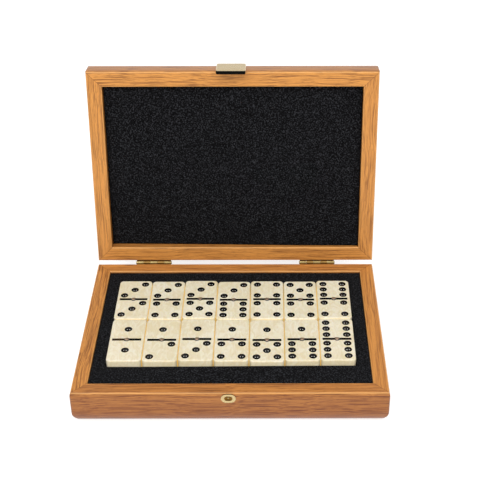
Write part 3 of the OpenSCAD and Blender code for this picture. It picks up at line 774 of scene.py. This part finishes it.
def make_dominoes():
    """Gives each domino its resin, and lays its pips, its divider and its pin head."""
    look = bpy.context.scene.domino_box.domino
    resin = resin_material()
    group, socket = marks_tree(gloss_paint(), pin_metal())
    for node in DOMINOES:
        paint_node(node, resin)
        numbers = [int(part) for part in node.split("_")[1:]]
        rear, front = reversed(numbers) if node in TURNED else numbers
        low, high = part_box(node)
        marks = grown_mesh(node + "_marks", group, {
            socket["Rear Number"]: rear, socket["Front Number"]: front,
            socket["Place"]: ((low.x + high.x) / 2, (low.y + high.y) / 2, high.z - PIN_RISE),
            socket["Pitch X"]: look.pitch_x, socket["Pitch Y"]: look.pitch_y,
            socket["Half Centre"]: (high.y - low.y) / 4,
            socket["Pip Radius"]: look.pip_radius, socket["Pip Depth"]: look.pip_depth,
            socket["Groove Length"]: look.groove_length, socket["Groove Width"]: look.groove_width,
            socket["Pin Radius"]: look.pin_radius})
        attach(marks, node)


# ---- fittings ----

END_BAND = 1.5 * MM    # height of the clasp's end that is painted dark as a reflection
DISH_SKIN = 0.06 * MM  # the strike's metal further in than this is its dish


def brass(name, bright, dull):
    """Plated brass with fine rubbing marks and duller patches."""
    made, tree, shader = start_material(name)
    place = tree.node("ShaderNodeTexCoord", out="Object")
    rubbed = grain(tree, stretch(tree, place, 0.15, 1, 1), 0.5 * MM)
    patches = ramp(tree, grain(tree, place, 5 * MM, detail=3.0), (0.4, 0.0), (0.75, 1.0))
    join(tree, shader, Base_Color=mix(tree, patches * 0.5 + rubbed * 0.2, bright, dull),
         Metallic=1.0, Roughness=0.3 + patches * 0.12 + rubbed * 0.06,
         Normal=bump(tree, rubbed, 0.01 * MM))
    return made


def masked_brass(name, body, bright, tint, mask_of):
    """Brass with a part of it, where the mask is 1, in another tint."""
    look = bpy.context.scene.domino_box.metal
    made, tree, shader = start_material(name)
    place = shut_place(tree, body)
    mask = mask_of(tree, *xyz(tree, place))
    patches = ramp(tree, grain(tree, place, 6 * MM, detail=3.0), (0.4, 0.0), (0.75, 1.0))
    rubbed = grain(tree, stretch(tree, place, 0.15, 1, 1), 0.5 * MM)
    plain = mix(tree, patches * 0.15 + rubbed * 0.05, bright, look.aged)
    join(tree, shader, Base_Color=mix(tree, mask, plain, tint), Metallic=0.65 + mask * 0.35,
         Roughness=0.23 + patches * 0.1 + rubbed * 0.06, Normal=bump(tree, rubbed, 0.001 * MM))
    return made


def finish_fittings():
    """Gives the hinges, the clasp and the strike their metal."""
    look = bpy.context.scene.domino_box.metal
    plain = brass("plated_brass", look.brass, look.aged)
    # painted shade: the lid's leaves get the darker brass; both brasses keep rubbing marks and dull
    # patches
    wear_and_painted_light = brass("amber_brass", look.amber, look.aged)
    for node in ("hinge_leaf_lid_left", "hinge_leaf_lid_right"):
        paint_node(node, wear_and_painted_light)
    for node in ("hinge_leaf_base_left", "hinge_leaf_base_right", "hinge_pins", "hinge_screws_base",
                 "hinge_screws_lid", "clasp_plate", "clasp_nails", "strike_nail"):
        paint_node(node, plain)

    end_z = min((SHUT @ v.co).z for v in frame["nodes"]["clasp_housing"].data.vertices)
    outwards = OPEN.to_3x3() @ Vector((0, -1, 0))
    strike_face_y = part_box("strike_plate")[0].y

    # painted reflection: the closed end and its rounded edges are painted near black
    def closed_end(tree, x, y, z):
        # the end and its rounded edges, but not the face that looks away from the wood
        facing = tree.node("ShaderNodeVectorMath", {"operation": "DOT_PRODUCT"}, (
            tree.node("ShaderNodeTexCoord", out="Normal"), outwards), out="Value")
        return z.under(end_z + END_BAND) * facing.under(0.93)

    # painted shade: the metal inside the dish is darker
    def dish(tree, x, y, z):
        return y.over(strike_face_y + DISH_SKIN)

    paint_node("clasp_housing",
               masked_brass("clasp_brass", "lid", look.clasp, look.shade, closed_end))
    paint_node("strike_plate",
               masked_brass("strike_brass", "base", look.strike, look.recess, dish))
    paint_node("clasp_tongue", brass("spring_steel", look.steel, look.steel))


# ---- studio ----

FLOOR_REACH = 40          # so far that its edge never shows, in metres
AIM = (0, 0.03, 0.08)     # the spot that the lamps point at
# place, size and power of each lamp
LAMPS = {
    "key": ((-0.75, -1.0, 1.35), (0.9, 0.9), 9.2),
    "fill": ((0.95, -0.9, 1.2), (0.9, 0.9), 6.2),
    "bar": ((0.1, -0.95, 1.5), (1.5, 0.2), 6),
    "top": ((0.0, 0.0, 1.9), (1.4, 1.0), 10.5),
}


def make_lamp(name, place, size, power):
    """Hangs a soft lamp that points at the box."""
    data = bpy.data.lights.new(name, "AREA")
    data.shape = "RECTANGLE"
    data.size, data.size_y = size
    data.energy = power
    lamp = bpy.data.objects.new(name, data)
    lamp.location = place
    lamp.rotation_euler = (Vector(AIM) - Vector(place)).to_track_quat("-Z", "Y").to_euler()
    bpy.context.scene.collection.objects.link(lamp)


def make_studio():
    """Lays the pale floor, hangs the soft lights and sets the camera."""
    look = bpy.context.scene.domino_box.studio
    scene = bpy.context.scene
    floor_mesh = bpy.data.meshes.new("floor")
    corners = ((-1, -1), (1, -1), (1, 1), (-1, 1))
    floor_mesh.from_pydata([(x * FLOOR_REACH, y * FLOOR_REACH, 0) for x, y in corners],
                           [], [(0, 1, 2, 3)])
    floor = bpy.data.objects.new("floor", floor_mesh)
    scene.collection.objects.link(floor)
    made, tree, shader = start_material("pale_floor")
    join(tree, shader, Base_Color=opaque(look.floor), Roughness=0.9, Emission_Color=(1, 1, 1, 1),
         Emission_Strength=look.floor_glow)
    floor_mesh.materials.append(made)

    world = bpy.data.worlds.new("soft_sky")
    world.use_nodes = True
    sky = world.node_tree.nodes["Background"]
    sky.inputs["Color"].default_value = (1, 1, 1, 1)
    sky.inputs["Strength"].default_value = look.sky
    scene.world = world
    scene.view_settings.view_transform = "Standard"

    for name, lamp in LAMPS.items():
        make_lamp(name, *lamp)

    data = bpy.data.cameras.new("camera")
    data.sensor_width = 36
    data.lens = look.lens
    data.shift_x = look.shift
    camera = bpy.data.objects.new("camera", data)
    camera.location = look.camera_at
    camera.rotation_euler = (math.pi / 2 - look.pitch, 0, -look.yaw)
    scene.collection.objects.link(camera)
    scene.camera = camera


# ---- operators ----

class DOMINOBOX_OT_wood(bpy.types.Operator):
    """Give the rails and the panels their wood"""
    bl_idname = "dominobox.wood"
    bl_label = "Wood"

    def execute(self, context):
        finish_wood()
        return {"FINISHED"}


class DOMINOBOX_OT_foam(bpy.types.Operator):
    """Make the foam floor, the tray and the lid's pad"""
    bl_idname = "dominobox.foam"
    bl_label = "Foam"

    def execute(self, context):
        make_foam()
        return {"FINISHED"}


class DOMINOBOX_OT_dominoes(bpy.types.Operator):
    """Give the dominoes their resin, pips, dividers and pins"""
    bl_idname = "dominobox.dominoes"
    bl_label = "Dominoes"

    def execute(self, context):
        make_dominoes()
        return {"FINISHED"}


class DOMINOBOX_OT_fittings(bpy.types.Operator):
    """Give the hinges, the clasp and the strike their metal"""
    bl_idname = "dominobox.fittings"
    bl_label = "Fittings"

    def execute(self, context):
        finish_fittings()
        return {"FINISHED"}


class DOMINOBOX_OT_studio(bpy.types.Operator):
    """Lay the floor, hang the lights and set the camera"""
    bl_idname = "dominobox.studio"
    bl_label = "Studio"

    def execute(self, context):
        make_studio()
        return {"FINISHED"}


class DOMINOBOX_PT_panel(bpy.types.Panel):
    """Settings of the domino box and its makers"""
    bl_idname = "DOMINOBOX_PT_panel"
    bl_label = "Domino Box"
    bl_space_type = "VIEW_3D"
    bl_region_type = "UI"
    bl_category = "Domino Box"

    def draw(self, context):
        settings = context.scene.domino_box
        for name in ("wood", "foam", "domino", "metal", "studio"):
            box = self.layout.box()
            box.label(text=name.title())
            group = getattr(settings, name)
            for key in group.bl_rna.properties.keys():
                if key not in {"rna_type", "name"}:
                    box.prop(group, key)
        for maker in MAKERS:
            self.layout.operator(maker.bl_idname)


MAKERS = (DOMINOBOX_OT_wood, DOMINOBOX_OT_foam, DOMINOBOX_OT_dominoes, DOMINOBOX_OT_fittings,
          DOMINOBOX_OT_studio)
CLASSES = (WoodSettings, FoamSettings, DominoSettings, MetalSettings, StudioSettings,
           DominoBoxSettings, *MAKERS, DOMINOBOX_PT_panel)


def register():
    """Registers the settings, the makers and the panel."""
    for cls in CLASSES:
        bpy.utils.register_class(cls)
    bpy.types.Scene.domino_box = PointerProperty(type=DominoBoxSettings)


def unregister():
    """Takes back what register did."""
    del bpy.types.Scene.domino_box
    for cls in reversed(CLASSES):
        bpy.utils.unregister_class(cls)


def main():
    """Makes the whole scene."""
    register()
    bpy.ops.dominobox.wood()
    bpy.ops.dominobox.foam()
    bpy.ops.dominobox.dominoes()
    bpy.ops.dominobox.fittings()
    bpy.ops.dominobox.studio()


if __name__ == "__main__":
    main()
